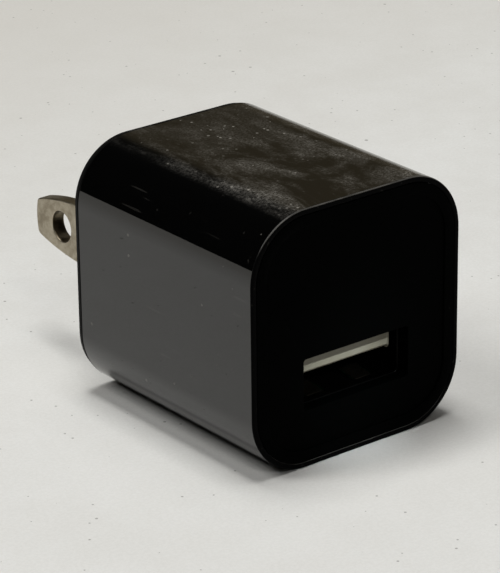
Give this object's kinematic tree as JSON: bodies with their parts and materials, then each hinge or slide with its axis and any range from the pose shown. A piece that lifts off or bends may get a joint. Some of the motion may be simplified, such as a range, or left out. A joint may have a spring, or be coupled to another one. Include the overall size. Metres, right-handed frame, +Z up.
{
  "type": "usb wall charger",
  "caption": "Rounded-cube wall charger with a USB socket low on its front face and flat holed blades at the back for a wall outlet.",
  "frame": {"origin": "middle of the plug face at the back, halfway between the two blades", "axes": "+Y out of the plug face along the blades, so the USB face looks along -Y; +Z up as the charger lies on its flat side; +X from the left blade to the right blade, across the width"},
  "size_m": [0.0252, 0.0424, 0.026],
  "materials": {
    "casing_gloss": "glossy black moulding with fine scratches and dust",
    "casing_matte": "very dark fine matte texture",
    "casing_rear": "satin black moulding",
    "blade_plating": "dull warm-grey plating over brass",
    "spring_bronze": "bright bronze strip",
    "shell_steel": "tin-plated steel sheet",
    "finger_steel": "tin-plated steel sheet",
    "socket_white": "white moulding",
    "contact_gold": "gold-plated strip",
    "board_green": "green solder mask",
    "board_tan": "bare tan laminate",
    "tinned_pins": "tinned",
    "moulded_black": "black epoxy moulding",
    "sheet_cream": "thin insulating sheet",
    "ferrite": "ground ferrite",
    "copper_wire": "enamelled copper wire",
    "insulated_wire": "yellow insulated copper wire",
    "tape_yellow": "polyester tape",
    "can_blue": "blue sleeved can",
    "can_black": "black sleeved can",
    "resistor_green": "coated resistor",
    "disc_blue": "dipped ceramic disc",
    "chip_tan": "ceramic chips"
  },
  "bodies": {
    "charger": {"sleeve": "casing_gloss", "front_cap": "casing_matte", "rear_cap": "casing_rear", "blade_carrier": "casing_rear", "left_blade": "blade_plating", "right_blade": "blade_plating", "left_mains_spring": "spring_bronze", "right_mains_spring": "spring_bronze", "usb_shell": "shell_steel", "usb_insulator": "socket_white", "usb_contact_tails": "contact_gold", "usb_board": "board_green", "power_board": "board_tan", "board_link_pins": "tinned_pins", "transformer_pins": "tinned_pins", "board_link_spacer": "moulded_black", "transformer_bobbin": "moulded_black", "bridge_rectifier": "moulded_black", "switching_transistor": "moulded_black", "controller_chip": "moulded_black", "output_diode": "moulded_black", "chip_resistors": "moulded_black", "insulation_sheet": "sheet_cream", "transformer_core_front": "ferrite", "transformer_core_rear": "ferrite", "choke_core": "ferrite", "transformer_primary": "copper_wire", "choke_winding": "copper_wire", "transformer_secondary": "insulated_wire", "transformer_tape": "tape_yellow", "left_input_capacitor": "can_blue", "right_input_capacitor": "can_blue", "output_capacitor": "can_black", "fusible_resistor": "resistor_green", "safety_capacitor": "disc_blue", "chip_capacitors": "chip_tan"},
    "ground_contact": {"ground_contact": "contact_gold"},
    "data_plus_contact": {"data_plus_contact": "contact_gold"},
    "data_minus_contact": {"data_minus_contact": "contact_gold"},
    "power_contact": {"power_contact": "contact_gold"},
    "lower_grip_fingers": {"lower_grip_fingers": "finger_steel"},
    "upper_grip_fingers": {"upper_grip_fingers": "finger_steel"}
  },
  "joints": [
    {"name": "ground_contact_flex", "type": "hinge", "parent": "charger", "child": "ground_contact", "pos_m": [-0.0035, -0.01555, -0.00418], "axis": [-1, 0, 0], "range_deg": [0, 4.2], "stiffness_Nm_per_rad": 0.05, "springref_deg": -1.72},
    {"name": "data_plus_contact_flex", "type": "hinge", "parent": "charger", "child": "data_plus_contact", "pos_m": [-0.001, -0.01555, -0.00418], "axis": [-1, 0, 0], "range_deg": [0, 4.2], "stiffness_Nm_per_rad": 0.05, "springref_deg": -1.72},
    {"name": "data_minus_contact_flex", "type": "hinge", "parent": "charger", "child": "data_minus_contact", "pos_m": [0.001, -0.01555, -0.00418], "axis": [-1, 0, 0], "range_deg": [0, 4.2], "stiffness_Nm_per_rad": 0.05, "springref_deg": -1.72},
    {"name": "power_contact_flex", "type": "hinge", "parent": "charger", "child": "power_contact", "pos_m": [0.0035, -0.01555, -0.00418], "axis": [-1, 0, 0], "range_deg": [0, 4.2], "stiffness_Nm_per_rad": 0.05, "springref_deg": -1.72},
    {"name": "lower_grip_fingers_flex", "type": "hinge", "parent": "charger", "child": "lower_grip_fingers", "pos_m": [0, -0.025, -0.00736], "axis": [-1, 0, 0], "range_deg": [0, 2.8], "stiffness_Nm_per_rad": 0.4, "springref_deg": -0.57},
    {"name": "upper_grip_fingers_flex", "type": "hinge", "parent": "charger", "child": "upper_grip_fingers", "pos_m": [0, -0.025, -0.00194], "axis": [1, 0, 0], "range_deg": [0, 2.8], "stiffness_Nm_per_rad": 0.4, "springref_deg": -0.57}
  ]
}
